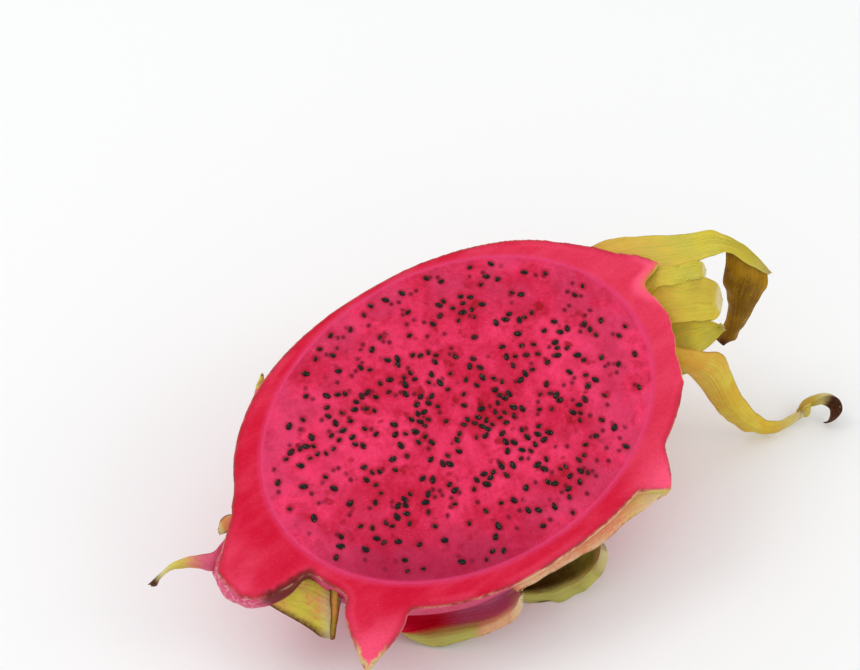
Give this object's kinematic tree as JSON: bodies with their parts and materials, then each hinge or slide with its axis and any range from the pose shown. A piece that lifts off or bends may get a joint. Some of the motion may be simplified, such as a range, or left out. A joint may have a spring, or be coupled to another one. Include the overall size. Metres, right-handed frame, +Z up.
{
  "type": "dragon fruit half",
  "caption": "Half of a red-fleshed dragon fruit, cut lengthwise: scaly peel around seeded pulp, with a leafy dried crown. Lies on its belly, cut face up.",
  "frame": {"origin": "on the table under the middle of the fruit: bottom centre of the object's box", "axes": "+Z up, +X along the fruit from its stem end to its crown, +Y towards the back, away from the side the cut face leans to"},
  "size_m": [0.1938, 0.0926, 0.059],
  "materials": {
    "peel": "waxy red-pink skin with yellow-green scales",
    "flesh": "wet magenta pulp with glossy black seeds",
    "crown": "dull yellow-green leaves with dry brown tips"
  },
  "bodies": {
    "root": {"peel": "peel", "flesh": "flesh", "crown": "crown"}
  },
  "joints": []
}
